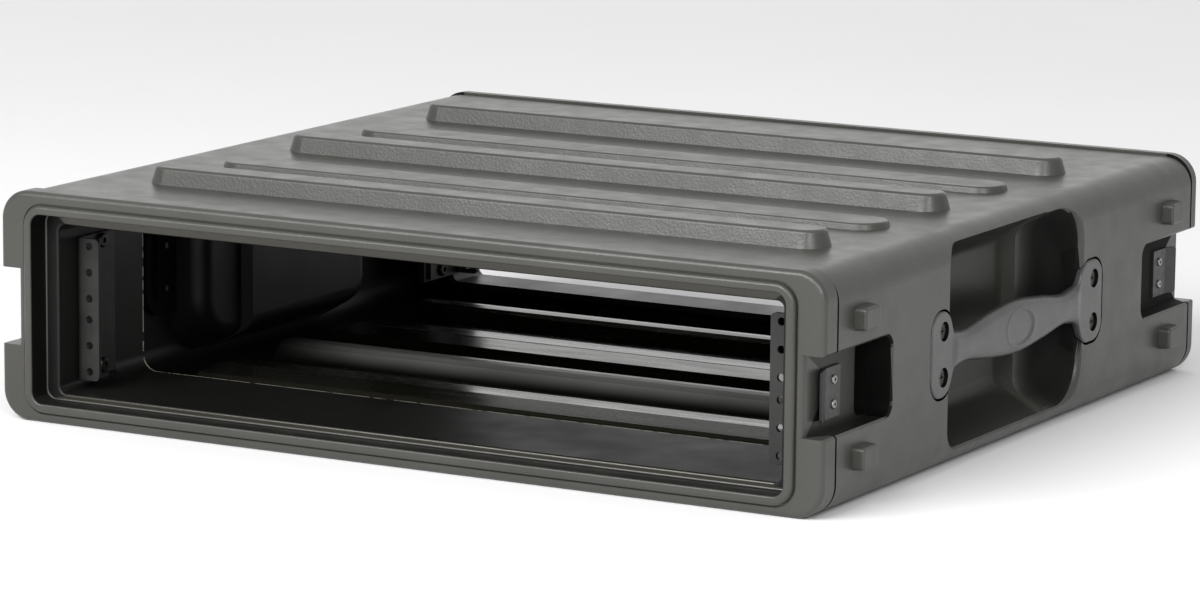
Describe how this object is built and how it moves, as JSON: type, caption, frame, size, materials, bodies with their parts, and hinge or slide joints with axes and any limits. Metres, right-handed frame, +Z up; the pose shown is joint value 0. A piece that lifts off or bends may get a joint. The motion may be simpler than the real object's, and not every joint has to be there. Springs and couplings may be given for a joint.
{
  "type": "equipment rack case",
  "caption": "Low moulded rack case body, open front and rear, with stacking ribs, steel rack rails, latch keepers in side recesses and strap handles in side pockets.",
  "frame": {"origin": "centre of the footprint, on the surface the case stands on", "axes": "+X to the right across the case, -Y out of the front opening, +Z up"},
  "size_m": [0.564, 0.5248, 0.1478],
  "materials": {
    "shell_plastic": "pebble-textured moulded polyethylene, semi-gloss inside",
    "rail_steel": "fine-textured black powder coat",
    "screw_steel": "black oxide",
    "keeper_steel": "black coating, lightly worn",
    "rivet_steel": "bright blind rivet",
    "handle_rubber": "smooth moulded vinyl rubber",
    "core_steel": "zinc-plated strip steel"
  },
  "bodies": {
    "root": {"handle_backing_front_left": "screw_steel", "handle_backing_front_right": "screw_steel", "handle_backing_rear_left": "screw_steel", "handle_backing_rear_right": "screw_steel", "handle_core_left": "core_steel", "handle_core_right": "core_steel", "handle_left": "handle_rubber", "handle_right": "handle_rubber", "handle_screws_front_left": "screw_steel", "handle_screws_front_right": "screw_steel", "handle_screws_rear_left": "screw_steel", "handle_screws_rear_right": "screw_steel", "keeper_rivets_front_left": "rivet_steel", "keeper_rivets_front_right": "rivet_steel", "keeper_rivets_rear_left": "rivet_steel", "keeper_rivets_rear_right": "rivet_steel", "latch_keeper_front_left": "keeper_steel", "latch_keeper_front_right": "keeper_steel", "latch_keeper_rear_left": "keeper_steel", "latch_keeper_rear_right": "keeper_steel", "rail_front_left": "rail_steel", "rail_front_right": "rail_steel", "rail_nuts_front_left": "screw_steel", "rail_nuts_front_right": "screw_steel", "rail_nuts_rear_left": "screw_steel", "rail_nuts_rear_right": "screw_steel", "rail_rear_left": "rail_steel", "rail_rear_right": "rail_steel", "rail_screws_front_left": "screw_steel", "rail_screws_front_right": "screw_steel", "rail_screws_rear_left": "screw_steel", "rail_screws_rear_right": "screw_steel", "shell": "shell_plastic"}
  },
  "joints": []
}
